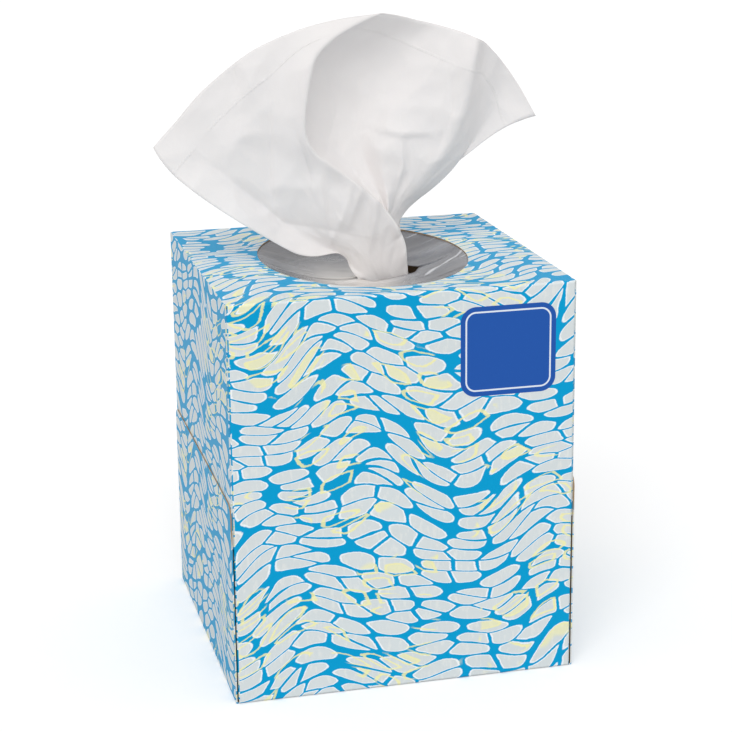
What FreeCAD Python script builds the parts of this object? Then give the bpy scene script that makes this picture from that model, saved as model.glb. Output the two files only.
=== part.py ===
# Upright tissue box: a folded carton with an oval mouth, a slit film window, a bent clip of
# interfolded sheets, and one sheet drawn up through the slit.
# Millimetres. +X is the right of the front face, -Y is the front, +Z is up.
# The origin is the middle of the carton's base, in the plane that it stands on.
import FreeCAD, Part
import Sketcher
import math
import os

from FreeCAD import Placement, Rotation, Vector

doc = FreeCAD.newDocument("TissueBox")


# Driving dimensions
sizes = doc.addObject("Spreadsheet::Sheet", "Sizes")
DRIVING = [
    # carton
    ("BoxWidth", 112, "outside, over the two closing flaps"),
    ("BoxDepth", 110, "outside, front face to back face"),
    ("BoxHeight", 130, "outside, base to top panel"),
    ("BoardThick", 0.45, "folding boxboard"),
    ("FoldRadius", 0.8, "outside radius of a scored fold"),
    ("MouthAcross", 68, "oval mouth, left to right"),
    ("MouthMargin", 9, "top panel in front of and behind the mouth"),
    ("LowerFlapReach", 66, "outer closing flap, up from the base"),
    ("FlapLap", 14, "inner closing flap, lapped by the outer one"),
    ("FlapCorner", 4, "rounded corners of the outer closing flap"),
    ("FlapInset", 0.5, "closing flaps, short of the front and back faces"),
    ("DustFlapReach", 40, "dust flaps, in from the front and back faces"),
    ("DustFlapTaper", 6, "corner cut of the dust flaps' free ends"),
    ("DustFlapRelief", 1.4, "dust flaps, short of the top and bottom panels"),
    ("SeamTabReach", 14, "glued seam tab, up the back panel"),
    # film window
    ("FilmThick", 0.1, "clear film"),
    ("FilmBand", 7.5, "glued band of film around the mouth"),
    ("GlueLine", 0.05, "between the film and the top panel"),
    ("FilmSag", 8, "film at the slit, below its glued band"),
    ("SlitLength", 58, "slit, left to right"),
    ("SlitClearance", 3.4, "film's lips at their widest, off the gathered bundle"),
    # clip of sheets
    ("ClipEndGap", 2.55, "between the clip and the front and back panels"),
    ("ClipSideGap", 0.6, "between the clip and the dust flaps"),
    ("ClipFilmGap", 3.45, "between the crown of the clip's arch and the slit"),
    ("ClipBendGap", 1.5, "slot between the clip's two legs"),
    # drawn sheet
    ("SheetThick", 0.4, "two soft plies"),
    ("SheetSeat", 0.3, "between the drawn sheet's foot and the clip"),
    ("GatherAcross", 14, "gathered bundle in the slit, left to right"),
    ("GatherDepth", 7, "gathered bundle in the slit, front to back"),
    ("GatherShift", 9, "bundle's middle, right of the carton's middle"),
    ("FanShift", 6.5, "fan's middle, right of the carton's middle"),
    ("FanDrop", 1.5, "fan's middle, below the slit"),
    ("SheetReach", 88.5, "slit to the sheet's free edge"),
]
for row, (name, value, meaning) in enumerate(DRIVING, start=1):
    sizes.set("A%d" % row, name)
    sizes.set("B%d" % row, str(value))
    sizes.set("C%d" % row, meaning)
    sizes.setAlias("B%d" % row, name)
doc.recompute()


# Helpers
def read(alias):
    return float(sizes.get(alias))


def value(expression):
    """What an expression on the sheet's values comes to."""
    return float(sizes.evalExpression(expression))


def new_body(name):
    body = doc.addObject("PartDesign::Body", name)
    body.Label = name
    return body


def new_sketch(body, name, plane_role, offset=None):
    """A sketch on one of the body's own origin planes, moved along its normal by an expression."""
    sketch = body.newObject("Sketcher::SketchObject", name)
    plane = [item for item in body.Origin.OriginFeatures if item.Role == plane_role][0]
    sketch.AttachmentSupport = [(plane, "")]
    sketch.MapMode = "FlatFace"
    if offset:
        sketch.setExpression("AttachmentOffset.Base.z", offset)
    doc.recompute()
    return sketch


def pin(sketch, geometry, point, across, up):
    """Ties a point to the origin by one or two expressions."""
    for kind, expression in (("DistanceX", across), ("DistanceY", up)):
        if expression is None:
            continue
        index = sketch.addConstraint(Sketcher.Constraint(kind, -1, 1, geometry, point, value(expression)))
        sketch.setExpression("Constraints[%d]" % index, expression)


def draw_outline(sketch, corners):
    """A closed outline of straight edges whose corners are pairs of expressions."""
    count = len(corners)
    spots = [Vector(value(across), value(up), 0) for across, up in corners]
    first = sketch.GeometryCount
    for i in range(count):
        sketch.addGeometry(Part.LineSegment(spots[i], spots[(i + 1) % count]), False)
    for i in range(count):
        following = first + (i + 1) % count
        sketch.addConstraint(Sketcher.Constraint("Coincident", first + i, 2, following, 1))
    for i, (across, up) in enumerate(corners):
        pin(sketch, first + i, 1, across, up)


def pad(body, name, sketch, length, both_sides=False):
    """A plate or prism grown from a sketch."""
    feature = body.newObject("PartDesign::Pad", name)
    feature.Profile = sketch
    feature.Midplane = both_sides
    feature.setExpression("Length", length)
    doc.recompute()
    return feature


def straight_edges(feature, direction, wanted):
    """Names of the feature's straight edges along a direction whose middle passes a test."""
    names = []
    for index, edge in enumerate(feature.Shape.Edges, start=1):
        if edge.Curve.TypeId != "Part::GeomLine":
            continue
        if abs(edge.tangentAt(edge.FirstParameter).dot(direction)) < 0.999:
            continue
        middle = edge.valueAt((edge.FirstParameter + edge.LastParameter) / 2)
        if wanted(middle, edge.Length):
            names.append("Edge%d" % index)
    return names


def round_edges(body, name, feature, edge_names, radius):
    fillet = body.newObject("PartDesign::Fillet", name)
    fillet.Base = (feature, edge_names)
    fillet.setExpression("Radius", radius)
    doc.recompute()
    return fillet


# Carton: one die-cut blank of boxboard, folded into a sleeve and closed by flaps left and right.
# The sleeve ends two board thicknesses short, and the closing flaps lie on its ends.
SLEEVE_END = "Sizes.BoxWidth / 2 - 2 * Sizes.BoardThick"
FLAP_EDGE = "Sizes.BoxDepth / 2 - Sizes.FlapInset"
MOUTH_ALONG = "(Sizes.BoxDepth - 2 * Sizes.MouthMargin)"
# a scored fold of one thickness is a little tighter than the board is thick
HINGE_RADIUS = "0.9 * Sizes.BoardThick"
TINY = 0.01


def build_carton():
    body = new_body("carton")

    sleeve_section = new_sketch(body, "sleeve_section", "YZ_Plane")
    for inset in ("0", "Sizes.BoardThick"):
        half_depth = "Sizes.BoxDepth / 2 - " + inset
        low = inset
        high = "Sizes.BoxHeight - " + inset
        front = "-(%s)" % half_depth
        corners = [(front, low), (half_depth, low), (half_depth, high), (front, high)]
        draw_outline(sleeve_section, corners)
    sleeve = pad(body, "sleeve", sleeve_section, "2 * (%s)" % SLEEVE_END, both_sides=True)
    round_sleeve_folds(body, sleeve)

    # glued seam: a tab on the bottom panel, up the inside of the back panel
    tab_section = new_sketch(body, "tab_section", "YZ_Plane")
    tab_out = "Sizes.BoxDepth / 2 - Sizes.BoardThick"
    tab_in = "Sizes.BoxDepth / 2 - 2 * Sizes.BoardThick"
    base = "Sizes.BoardThick"
    top = "Sizes.SeamTabReach"
    draw_outline(tab_section, [(tab_in, base), (tab_out, base), (tab_out, top), (tab_in, top)])
    tab_length = "2 * (%s) - 2 * Sizes.DustFlapTaper" % SLEEVE_END
    pad(body, "seam_tab", tab_section, tab_length, both_sides=True)

    # dust flaps of the left end, folded in from the front and back panels
    left_features = []
    for side, sign in (("front", "-1"), ("back", "1")):
        hinge = sign + " * (Sizes.BoxDepth / 2 - Sizes.BoardThick / 2)"
        free = sign + " * (Sizes.BoxDepth / 2 - Sizes.DustFlapReach)"
        bend = sign + " * (Sizes.BoxDepth / 2 - Sizes.DustFlapReach + Sizes.DustFlapTaper)"
        low = "Sizes.DustFlapRelief"
        high = "Sizes.BoxHeight - Sizes.DustFlapRelief"
        outline = new_sketch(body, side + "_dust_outline", "YZ_Plane", "-(%s)" % SLEEVE_END)
        draw_outline(outline, [
            (hinge, low),
            (bend, low),
            (free, low + " + Sizes.DustFlapTaper"),
            (free, high + " - Sizes.DustFlapTaper"),
            (bend, high),
            (hinge, high),
        ])
        left_features.append(pad(body, side + "_dust_flap", outline, "Sizes.BoardThick"))
        left_features.append(cut_upright_fold(body, side, sign))

    # inner closing flap, hinged on the top panel, over the dust flaps
    upper_outline = new_sketch(body, "upper_flap_outline", "YZ_Plane",
                               "-(%s) - Sizes.BoardThick" % SLEEVE_END)
    upper_low = "Sizes.LowerFlapReach - Sizes.FlapLap"
    upper_half = FLAP_EDGE + " - Sizes.BoardThick"
    draw_outline(upper_outline, [
        ("-(%s)" % upper_half, upper_low),
        (upper_half, upper_low),
        (upper_half, "Sizes.BoxHeight"),
        ("-(%s)" % upper_half, "Sizes.BoxHeight"),
    ])
    left_features.append(pad(body, "upper_flap", upper_outline, "Sizes.BoardThick"))

    # outer closing flap, hinged on the bottom panel, glued over the inner one
    hinge_outline = new_sketch(body, "lower_hinge_outline", "YZ_Plane", "-Sizes.BoxWidth / 2")
    draw_outline(hinge_outline, [
        ("-(%s)" % FLAP_EDGE, "0"),
        (FLAP_EDGE, "0"),
        (FLAP_EDGE, "Sizes.BoardThick"),
        ("-(%s)" % FLAP_EDGE, "Sizes.BoardThick"),
    ])
    left_features.append(pad(body, "lower_hinge", hinge_outline, "2 * Sizes.BoardThick"))
    lower_outline = new_sketch(body, "lower_flap_outline", "YZ_Plane", "-Sizes.BoxWidth / 2")
    corner_across = FLAP_EDGE + " - Sizes.FlapCorner"
    corner_up = "Sizes.LowerFlapReach - Sizes.FlapCorner"
    draw_rounded_flap(lower_outline, FLAP_EDGE, corner_across, corner_up, "Sizes.LowerFlapReach")
    left_features.append(pad(body, "lower_flap", lower_outline, "Sizes.BoardThick"))

    # the right end is closed in the same way
    both_ends = body.newObject("PartDesign::Mirrored", "right_end")
    both_ends.Originals = left_features
    middle_planes = [item for item in body.Origin.OriginFeatures if item.Role == "YZ_Plane"]
    both_ends.MirrorPlane = (middle_planes[0], [""])
    body.Tip = both_ends
    doc.recompute()

    # oval mouth, cut through the top panel
    mouth_outline = new_sketch(body, "mouth_outline", "XY_Plane", "Sizes.BoxHeight")
    mouth_outline.addGeometry(mouth_oval(), False)
    mouth_outline.exposeInternalGeometry(0)
    mouth_outline.addConstraint(Sketcher.Constraint("Coincident", 0, 3, -1, 1))
    mouth_outline.addConstraint(Sketcher.Constraint("Vertical", 1))
    along = mouth_outline.addConstraint(Sketcher.Constraint("Distance", 1, value(MOUTH_ALONG)))
    across = mouth_outline.addConstraint(Sketcher.Constraint("Distance", 2, read("MouthAcross")))
    mouth_outline.setExpression("Constraints[%d]" % along, MOUTH_ALONG)
    mouth_outline.setExpression("Constraints[%d]" % across, "Sizes.MouthAcross")
    doc.recompute()
    mouth = body.newObject("PartDesign::Pocket", "mouth")
    mouth.Profile = mouth_outline
    mouth.setExpression("Length", "2 * Sizes.BoardThick")
    doc.recompute()
    check_removed(both_ends, mouth)

    # scored hinges of the closing flaps
    half_depth = read("BoxDepth") / 2
    height = read("BoxHeight")
    box_end = read("BoxWidth") / 2

    def on_flap_hinge(middle, length):
        upper = abs(abs(middle.x) - box_end + read("BoardThick")) < TINY and abs(middle.z - height) < TINY
        lower = abs(abs(middle.x) - box_end) < TINY and abs(middle.z) < TINY
        return (upper or lower) and length > half_depth

    hinges = straight_edges(mouth, Vector(0, 1, 0), on_flap_hinge)
    round_edges(body, "flap_hinges", mouth, hinges, HINGE_RADIUS)
    return body


def mouth_oval():
    """The mouth's ellipse, about the origin."""
    far_end = Vector(0, value(MOUTH_ALONG) / 2, 0)
    side = Vector(read("MouthAcross") / 2, 0, 0)
    return Part.Ellipse(far_end, side, Vector(0, 0, 0))


def round_sleeve_folds(body, sleeve):
    """The sleeve's four scored folds, outside and, under the top panel, inside."""
    half_depth = read("BoxDepth") / 2
    height = read("BoxHeight")
    board = read("BoardThick")

    def on_outer_fold(middle, length):
        return abs(abs(middle.y) - half_depth) < TINY and min(abs(middle.z), abs(middle.z - height)) < TINY

    def on_inner_fold(middle, length):
        return abs(abs(middle.y) - half_depth + board) < TINY and abs(middle.z - height + board) < TINY

    along = Vector(1, 0, 0)
    outer = straight_edges(sleeve, along, on_outer_fold)
    rounded = round_edges(body, "sleeve_folds", sleeve, outer, "Sizes.FoldRadius")
    inner = straight_edges(rounded, along, on_inner_fold)
    round_edges(body, "inner_folds", rounded, inner, "Sizes.FoldRadius - Sizes.BoardThick")


def cut_upright_fold(body, side, sign):
    """Rounds the upright fold between a dust flap and its panel, at the left end."""
    before = body.Tip
    outline = new_sketch(body, side + "_fold_outline", "XY_Plane", "Sizes.BoxHeight")
    radius = read("FoldRadius")
    corner = Vector(2 * read("BoardThick") - read("BoxWidth") / 2, float(sign) * read("BoxDepth") / 2, 0)
    centre = corner + Vector(radius, -float(sign) * radius, 0)
    turn = (math.pi / 2, math.pi) if float(sign) > 0 else (math.pi, 1.5 * math.pi)
    outline.addGeometry(Part.ArcOfCircle(Part.Circle(centre, Vector(0, 0, 1), radius), *turn), False)
    arc_start = Vector(centre.x + radius * math.cos(turn[0]), centre.y + radius * math.sin(turn[0]), 0)
    arc_end = Vector(centre.x + radius * math.cos(turn[1]), centre.y + radius * math.sin(turn[1]), 0)
    outline.addGeometry(Part.LineSegment(arc_end, corner), False)
    outline.addGeometry(Part.LineSegment(corner, arc_start), False)
    outline.addConstraint(Sketcher.Constraint("Coincident", 0, 2, 1, 1))
    outline.addConstraint(Sketcher.Constraint("Coincident", 1, 2, 2, 1))
    outline.addConstraint(Sketcher.Constraint("Coincident", 2, 2, 0, 1))
    corner_across = "-(%s)" % SLEEVE_END
    corner_along = sign + " * Sizes.BoxDepth / 2"
    pin(outline, 2, 1, corner_across, corner_along)
    centre_across = corner_across + " + Sizes.FoldRadius"
    centre_along = sign + " * (Sizes.BoxDepth / 2 - Sizes.FoldRadius)"
    pin(outline, 0, 3, centre_across, centre_along)
    on_panel, on_flap = (1, 2) if float(sign) > 0 else (2, 1)
    pin(outline, 0, on_panel, centre_across, corner_along)
    pin(outline, 0, on_flap, None, centre_along)
    doc.recompute()
    fold = body.newObject("PartDesign::Pocket", side + "_upright_fold")
    fold.Profile = outline
    fold.setExpression("Length", "Sizes.BoxHeight")
    doc.recompute()
    check_removed(before, fold)
    return fold


def draw_rounded_flap(sketch, half_width, corner_across, corner_up, top):
    """A flap's outline: straight sides, a free edge at the top, and two rounded corners."""
    radius = read("FlapCorner")
    wide = read("BoxDepth") / 2 - read("FlapInset")
    high = read("LowerFlapReach")
    right_centre = Vector(wide - radius, high - radius, 0)
    left_centre = Vector(radius - wide, high - radius, 0)
    up = Vector(0, 0, 1)
    sketch.addGeometry([
        Part.LineSegment(Vector(-wide, 0, 0), Vector(wide, 0, 0)),
        Part.LineSegment(Vector(wide, 0, 0), Vector(wide, high - radius, 0)),
        Part.ArcOfCircle(Part.Circle(right_centre, up, radius), 0, math.pi / 2),
        Part.LineSegment(Vector(wide - radius, high, 0), Vector(radius - wide, high, 0)),
        Part.ArcOfCircle(Part.Circle(left_centre, up, radius), math.pi / 2, math.pi),
        Part.LineSegment(Vector(-wide, high - radius, 0), Vector(-wide, 0, 0)),
    ], False)
    joins = [(0, 2, 1, 1), (1, 2, 2, 1), (2, 2, 3, 1), (3, 2, 4, 1), (4, 2, 5, 1), (5, 2, 0, 1)]
    for first, first_end, second, second_end in joins:
        sketch.addConstraint(Sketcher.Constraint("Coincident", first, first_end, second, second_end))
    pin(sketch, 0, 1, "-(%s)" % half_width, "0")
    pin(sketch, 0, 2, half_width, "0")
    pin(sketch, 2, 3, corner_across, corner_up)
    pin(sketch, 2, 1, half_width, None)
    pin(sketch, 2, 1, None, corner_up)
    pin(sketch, 2, 2, corner_across, None)
    pin(sketch, 4, 3, "-(%s)" % corner_across, corner_up)
    pin(sketch, 4, 1, "-(%s)" % corner_across, top)
    pin(sketch, 4, 2, None, corner_up)
    doc.recompute()


def check_removed(before, after):
    """A cut that points away from the solid removes nothing."""
    if after.Shape.Volume >= before.Shape.Volume:
        raise RuntimeError(after.Label + " removes nothing")


# Film window: clear film glued under the top panel, slack in the mouth, slit from left to right.
BAND_TOP = "(Sizes.BoxHeight - Sizes.BoardThick - Sizes.GlueLine)"
SLIT_TOP = "(%s - Sizes.FilmSag)" % BAND_TOP
SLIT_HALF_OPENING = "(Sizes.GatherDepth / 2 + Sizes.SlitClearance)"


def oval_prism(length, base):
    """An upright prism on the mouth's oval."""
    prism = Part.Face(Part.Wire([mouth_oval().toShape()])).extrude(Vector(0, 0, length))
    prism.translate(Vector(0, 0, base))
    return prism


def sagging_face():
    """The slack film: a bowl that hangs from the mouth's rim, lowest at the slit."""
    half_across = read("MouthAcross") / 2
    half_along = value(MOUTH_ALONG) / 2
    bowl = Part.BezierSurface()
    bowl.increase(2, 2)
    # a parabola's middle pole lies as far below its vertex as its ends lie above
    rises = [read("FilmSag"), -read("FilmSag"), read("FilmSag")]
    for i, across in enumerate((-half_across, 0, half_across)):
        for j, along in enumerate((-half_along, 0, half_along)):
            pole = Vector(across, along, value(SLIT_TOP) + rises[i] + rises[j])
            bowl.setPole(i + 1, j + 1, pole)
    return bowl.toShape()


def build_film():
    thick = read("FilmThick")
    half_across = read("MouthAcross") / 2 + read("FilmBand")
    half_along = value(MOUTH_ALONG) / 2 + read("FilmBand")
    band_corner = Vector(-half_across, -half_along, value(BAND_TOP) - thick)
    band = Part.makeBox(2 * half_across, 2 * half_along, thick, band_corner)
    band = band.cut(oval_prism(3 * thick, value(BAND_TOP) - 2 * thick))
    bowl = sagging_face().extrude(Vector(0, 0, -thick))
    bowl = bowl.common(oval_prism(read("BoxHeight"), 0))

    half_slit = read("SlitLength") / 2
    half_open = value(SLIT_HALF_OPENING)
    left, right = Vector(-half_slit, 0, 0), Vector(half_slit, 0, 0)
    lips = [Part.Arc(left, Vector(0, -half_open, 0), right).toShape()]
    lips.append(Part.Arc(right, Vector(0, half_open, 0), left).toShape())
    slit = Part.Face(Part.Wire(lips)).extrude(Vector(0, 0, read("BoxHeight")))
    film = doc.addObject("Part::Feature", "film_window")
    film.Label = "film_window"
    film.Shape = band.fuse(bowl.cut(slit))
    film.Placement = Placement(Vector(0, 0, 0), Rotation())
    return film


# Clip: the interfolded sheets, bent into an arch that stands on its two ends.
CLIP_HALF = "(Sizes.BoxWidth / 2 - 3 * Sizes.BoardThick - Sizes.ClipSideGap)"
CLIP_SPRING = "(%s - Sizes.ClipFilmGap - %s)" % (SLIT_TOP, CLIP_HALF)
CLIP_FOLDED = "(Sizes.BoxDepth - 2 * Sizes.BoardThick - 2 * Sizes.ClipEndGap)"


def build_clip():
    body = new_body("tissue_stack")
    section = new_sketch(body, "clip_section", "XZ_Plane")
    half = value(CLIP_HALF)
    base = read("BoardThick")
    spring = value(CLIP_SPRING)
    slot = read("ClipBendGap") / 2
    up = Vector(0, 0, 1)
    section.addGeometry([
        Part.LineSegment(Vector(slot, base, 0), Vector(half, base, 0)),
        Part.LineSegment(Vector(half, base, 0), Vector(half, spring, 0)),
        Part.ArcOfCircle(Part.Circle(Vector(0, spring, 0), up, half), 0, math.pi),
        Part.LineSegment(Vector(-half, spring, 0), Vector(-half, base, 0)),
        Part.LineSegment(Vector(-half, base, 0), Vector(-slot, base, 0)),
        Part.LineSegment(Vector(-slot, base, 0), Vector(-slot, spring, 0)),
        Part.ArcOfCircle(Part.Circle(Vector(0, spring, 0), up, slot), 0, math.pi),
        Part.LineSegment(Vector(slot, spring, 0), Vector(slot, base, 0)),
    ], False)
    joins = [(0, 2, 1, 1), (1, 2, 2, 1), (2, 2, 3, 1), (3, 2, 4, 1),
             (4, 2, 5, 1), (5, 2, 6, 2), (6, 1, 7, 1), (7, 2, 0, 1)]
    for first, first_end, second, second_end in joins:
        section.addConstraint(Sketcher.Constraint("Coincident", first, first_end, second, second_end))
    pin(section, 0, 1, "Sizes.ClipBendGap / 2", "Sizes.BoardThick")
    pin(section, 1, 1, CLIP_HALF, "Sizes.BoardThick")
    pin(section, 2, 3, "0", CLIP_SPRING)
    pin(section, 2, 1, CLIP_HALF, CLIP_SPRING)
    pin(section, 2, 2, None, CLIP_SPRING)
    pin(section, 4, 1, "-" + CLIP_HALF, "Sizes.BoardThick")
    pin(section, 5, 1, "-Sizes.ClipBendGap / 2", "Sizes.BoardThick")
    pin(section, 6, 3, "0", CLIP_SPRING)
    pin(section, 6, 1, "Sizes.ClipBendGap / 2", CLIP_SPRING)
    pin(section, 6, 2, None, CLIP_SPRING)
    doc.recompute()
    pad(body, "clip_sheets", section, CLIP_FOLDED, both_sides=True)
    return body


# Drawn sheet: gathered in the slit, opened above it like a fan. The broad front panel comes down
# from the left into the slit and laps over the middle panel, which is hollow. A pleat turns its
# right side back, and the right flap stands beyond it. Each rib runs from the slit to the free
# edge. At each level it gives its direction in degrees about the fan's middle, from the right up
# and over to the left, as seen along SIGHT, and its depth towards the back. Reaches, depths and
# places in the slit are in hundredths of the sheet's reach and of the bundle's sides.
SIGHT = Vector(0.25, 1, -0.29)
LEVELS = [0.12, 0.19, 0.3, 0.45, 0.6, 0.78, 0.93, 1.0]
RIBS = [
    # name, reach at the free edge, place in the slit, then direction and depth at each level
    ("left_edge", 101, (-50, -14),
     [(163, -3), (135, -5), (160, -8), (156, -8), (153.8, -7), (151.3, -3), (149, -1), (146.4, 0)]),
    ("left_roll", 99.5, (-36, -43),
     [(148, -3), (141, -3), (147, -3), (146.5, -2), (145, -1), (143.5, 0), (141.5, 0), (139.5, 0)]),
    ("left_wing", 99.5, (-11, -29),
     [(125, -5), (130, -6), (137, -7), (136, -6), (134, -5), (133, -3), (130, -2), (129, -2)]),
    ("front", 99.5, (21, -50),
     [(90, -6), (103, -7), (118, -8), (124, -8), (126, -8), (121, -8), (117, -7), (116, -6)]),
    ("front_fold", 98.5, (50, -21),
     [(30, -6), (58, -8), (88, -9), (108, -10), (118, -12), (109, -14), (103, -12), (90, -9)]),
    ("tuck", 98.9, (39, 7),
     [(45, -1), (70, -1), (95, -2), (114, -1), (121, -1), (113, 0), (106, -1), (88, -5)]),
    ("hollow", 99, (21, -7),
     [(60, 0), (73, 1), (90, 2), (105, 5), (110, 7), (103, 9), (98, 8), (85, -1)]),
    ("crown_left", 98.5, (7, 14),
     [(75, 2), (80, 2), (86, 3), (97, 5), (100, 8), (94, 10), (91, 9), (82, 1)]),
    ("crown", 98, (-11, 0),
     [(88, 1), (86, 0), (83, 0), (90, -1), (90, 3), (85, 7), (83, 6), (78, 1)]),
    ("crown_right", 97, (-25, 21),
     [(98, 2), (90, 3), (80, 3), (79, 0), (77, -1), (75, 0), (74, -1), (72, -2)]),
    ("right_pleat", 96, (-7, 36),
     [(90, 3), (83, 4), (76, 5), (64.5, -2), (62, -7), (63.4, -9), (66, -9), (67, -7)]),
    ("right_tuck", 97, (14, 31),
     [(80, 3), (76, 6), (71, 9), (57, 8), (55, 7), (60, 5), (64, 2), (65.5, 0)]),
    ("right_flap", 93.5, (32, 43),
     [(65, 4), (69, 7), (74, 10), (60, 10), (55.5, 10), (55.5, 10), (57, 8), (58, 7)]),
    ("right_edge", 86, (46, 47),
     [(50, 4), (64, 6), (78, 9), (62, 10), (55, 9), (51, 7), (47, 6), (44.9, 6)]),
]


def crown_height(x, lift):
    """Height of the clip's arch at x, raised by a lift."""
    radius = value(CLIP_HALF) + lift
    return value(CLIP_SPRING) + math.sqrt(radius ** 2 - x ** 2)


def halfway(first, second):
    """A rib between two others."""
    reach = (first[1] + second[1]) / 2
    spot = tuple((a + b) / 2 for a, b in zip(first[2], second[2]))
    bearings = [((a + c) / 2, (b + d) / 2) for (a, b), (c, d) in zip(first[3], second[3])]
    return (first[0] + "_halfway", reach, spot, bearings)


def sheet_poles():
    """Poles of the drawn sheet: one row for each rib, from the clip to the free edge."""
    ribs = [RIBS[0]]
    for rib in RIBS[1:]:
        ribs += [halfway(ribs[-1], rib), rib]
    middle = Vector(read("FanShift"), 0, value(SLIT_TOP) - read("FanDrop"))
    lift = read("SheetSeat") + read("SheetThick") / 2
    rows = []
    for name, reach, (foot_across, foot_depth), bearings in ribs:
        foot_x = read("GatherShift") + read("GatherAcross") * foot_across / 100
        foot_y = read("GatherDepth") * foot_depth / 100
        row = [Vector(foot_x, foot_y, crown_height(foot_x, lift))]
        for level, (direction, depth) in zip(LEVELS, bearings):
            length = read("SheetReach") * level * (1 + (reach / 100 - 1) * level ** 2)
            angle = math.radians(direction)
            upright = Vector(length * math.cos(angle), 0, length * math.sin(angle))
            row.append(middle + upright + SIGHT * (read("SheetReach") * depth / 100))
        rows.append(row)
    return rows


def smooth_grid(poles, columns, rows):
    """Points of the smooth surface of the second degree on a grid of poles."""
    degree = 2
    knots = []
    multiplicities = []
    for count in (len(poles), len(poles[0])):
        spans = count - degree
        knots.append([float(k) for k in range(spans + 1)])
        multiplicities.append([degree + 1] + [1] * (spans - 1) + [degree + 1])
    surface = Part.BSplineSurface()
    surface.buildFromPolesMultsKnots(poles, multiplicities[0], multiplicities[1], knots[0], knots[1],
                                     False, False, degree, degree)
    last_u, last_v = knots[0][-1], knots[1][-1]
    return [[surface.value(u, v) for v in spread(0, last_v, rows)] for u in spread(0, last_u, columns)]


def spread(low, high, count):
    """Evenly spaced values, ends included."""
    return [low + (high - low) * i / (count - 1) for i in range(count)]


def grid_normals(points):
    """Unit normals at a grid of points, from their neighbours."""
    last_i = len(points) - 1
    last_j = len(points[0]) - 1
    normals = []
    for i in range(last_i + 1):
        line = []
        for j in range(last_j + 1):
            across = points[min(i + 1, last_i)][j] - points[max(i - 1, 0)][j]
            up = points[i][min(j + 1, last_j)] - points[i][max(j - 1, 0)]
            line.append(across.cross(up).normalize())
        normals.append(line)
    return normals


def triangle(a, b, c):
    return Part.Face(Part.makePolygon([a, b, c, a]))


def strip(near, far):
    """Flat triangles between two rows of points."""
    faces = []
    for a, b, c, d in zip(near, near[1:], far[1:], far):
        faces += [triangle(a, b, c), triangle(a, c, d)]
    return faces


def thin_solid(points, thickness):
    """A closed solid of even thickness around a grid of points, with a flat facet at each half cell."""
    normals = grid_normals(points)
    def side_at(offset):
        return [[point + normal * offset for point, normal in zip(row, line)]
                for row, line in zip(points, normals)]

    front, back = side_at(thickness / 2), side_at(-thickness / 2)
    faces = []
    for side in (front, back):
        for near, far in zip(side, side[1:]):
            faces += strip(near, far)
    for edge in (0, -1):
        faces += strip(front[edge], back[edge])
        faces += strip([row[edge] for row in front], [row[edge] for row in back])
    shell = Part.makeShell(faces)
    shell.sewShape()
    solid = Part.makeSolid(Part.Shell(shell.Faces))
    if solid.Volume < 0:
        solid.reverse()
    return solid


SHEET_COLUMNS = 53
SHEET_ROWS = 17


def build_sheet():
    sheet = doc.addObject("Part::Feature", "popup_tissue")
    sheet.Label = "popup_tissue"
    sheet.Shape = thin_solid(smooth_grid(sheet_poles(), SHEET_COLUMNS, SHEET_ROWS), read("SheetThick"))
    sheet.Placement = Placement(Vector(0, 0, 0), Rotation())
    return sheet


nodes = [build_carton(), build_film(), build_clip(), build_sheet()]
doc.recompute()

for item in doc.Objects:
    if "Invalid" in item.State or "Error" in item.State:
        raise RuntimeError(item.Label + " failed: " + str(item.State))
os.makedirs("parts", exist_ok=True)
for node in nodes:
    if node.Shape.isNull() or not node.Shape.isValid():
        raise RuntimeError(node.Label + " has no valid shape")
    node.Shape.exportStep(os.path.join("parts", node.Label + ".step"))
    print(node.Label, len(node.Shape.Solids), "solid,", round(node.Shape.Volume), "mm3", node.Shape.BoundBox)
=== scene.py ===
# Upright tissue box: a printed carton with an oval mouth, a slit film under it, a bent clip of
# interfolded sheets, and one sheet drawn up through the slit. Metres, on the frame of the CAD part.
import math

import bpy
import numpy as np
from mathutils import Matrix, Vector, noise


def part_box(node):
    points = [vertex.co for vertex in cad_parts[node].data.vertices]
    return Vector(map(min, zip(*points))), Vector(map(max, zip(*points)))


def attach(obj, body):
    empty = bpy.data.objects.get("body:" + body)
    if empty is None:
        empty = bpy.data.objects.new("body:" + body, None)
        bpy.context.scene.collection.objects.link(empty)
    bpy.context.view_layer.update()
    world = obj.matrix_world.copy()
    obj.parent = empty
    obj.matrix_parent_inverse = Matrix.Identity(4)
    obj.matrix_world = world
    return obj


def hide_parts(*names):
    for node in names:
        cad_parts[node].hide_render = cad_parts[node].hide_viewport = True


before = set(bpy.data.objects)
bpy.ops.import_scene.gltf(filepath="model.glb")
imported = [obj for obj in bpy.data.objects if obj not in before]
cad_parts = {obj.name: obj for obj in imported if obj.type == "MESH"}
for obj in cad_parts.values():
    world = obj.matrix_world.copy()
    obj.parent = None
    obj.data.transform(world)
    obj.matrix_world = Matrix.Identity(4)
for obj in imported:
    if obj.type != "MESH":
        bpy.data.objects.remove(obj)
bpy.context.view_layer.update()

MM = 0.001


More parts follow.
